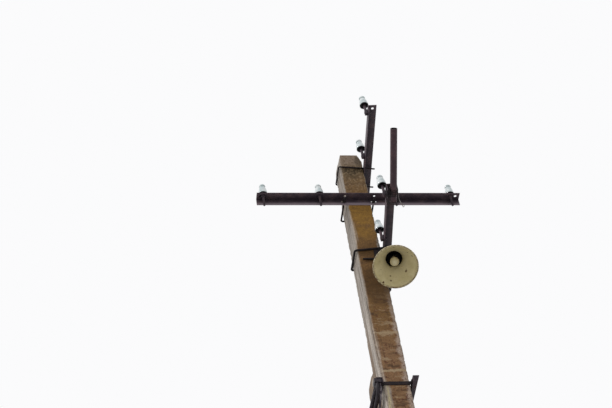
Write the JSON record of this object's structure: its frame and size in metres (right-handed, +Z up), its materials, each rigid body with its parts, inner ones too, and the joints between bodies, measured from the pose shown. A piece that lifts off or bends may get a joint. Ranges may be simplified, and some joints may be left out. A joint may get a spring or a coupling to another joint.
{
  "type": "concrete overhead line pole with strut and street lamp",
  "caption": "Precast concrete line pole with a raking strut, steel arms carrying porcelain pin insulators, an enamelled street lamp and cables down to the ground.",
  "frame": {"origin": "centre of the pole's section at ground level", "axes": "+Z up the pole, +X along the crossarm, +Y from the lamp side to the strut side"},
  "size_m": [1.47, 4.3687, 9.013],
  "materials": {
    "concrete": "weathered precast concrete, streaked and cracked",
    "old_steel": "old dark paint, rusted",
    "galvanised": "dull zinc",
    "porcelain": "white glaze, dusty",
    "enamel": "aged cream enamel with rust chips",
    "bulb_glass": "frosted",
    "black_plastic": "matte",
    "grey_plastic": "matte, sun-bleached"
  },
  "bodies": {
    "root": {"pole_shaft": "concrete", "strut": "concrete", "crossarm": "old_steel", "crossarm_u_bolt": "old_steel", "crossarm_pins": "old_steel", "upper_arm": "old_steel", "upper_arm_u_bolt": "old_steel", "upper_arm_pins": "old_steel", "lower_arm": "old_steel", "lower_arm_u_bolt": "old_steel", "lower_arm_packing": "old_steel", "lower_arm_pins": "old_steel", "crossarm_insulator_1": "porcelain", "crossarm_insulator_2": "porcelain", "crossarm_insulator_3": "porcelain", "crossarm_insulator_4": "porcelain", "upper_arm_insulator_1": "porcelain", "upper_arm_insulator_2": "porcelain", "upper_arm_insulator_3": "porcelain", "upper_arm_insulator_4": "porcelain", "lower_arm_insulator_1": "porcelain", "lower_arm_insulator_2": "porcelain", "lower_arm_insulator_3": "porcelain", "lower_arm_insulator_4": "porcelain", "spare_pipe": "old_steel", "pipe_lashing": "old_steel", "lamp_shade": "enamel", "lamp_housing": "enamel", "lamp_socket": "black_plastic", "lamp_bulb": "bulb_glass", "lamp_pipe": "old_steel", "lamp_pipe_clamps": "old_steel", "anchor_clamp": "old_steel", "anchor_bail": "old_steel", "yoke_bar_right": "old_steel", "yoke_bar_left": "old_steel", "yoke_front_strap": "old_steel", "yoke_back_rod": "galvanised", "cable_clamp": "black_plastic", "down_cable_1": "black_plastic", "down_cable_2": "grey_plastic", "down_cable_3": "black_plastic", "down_cable_4": "grey_plastic", "cable_clips": "galvanised"}
  },
  "joints": []
}
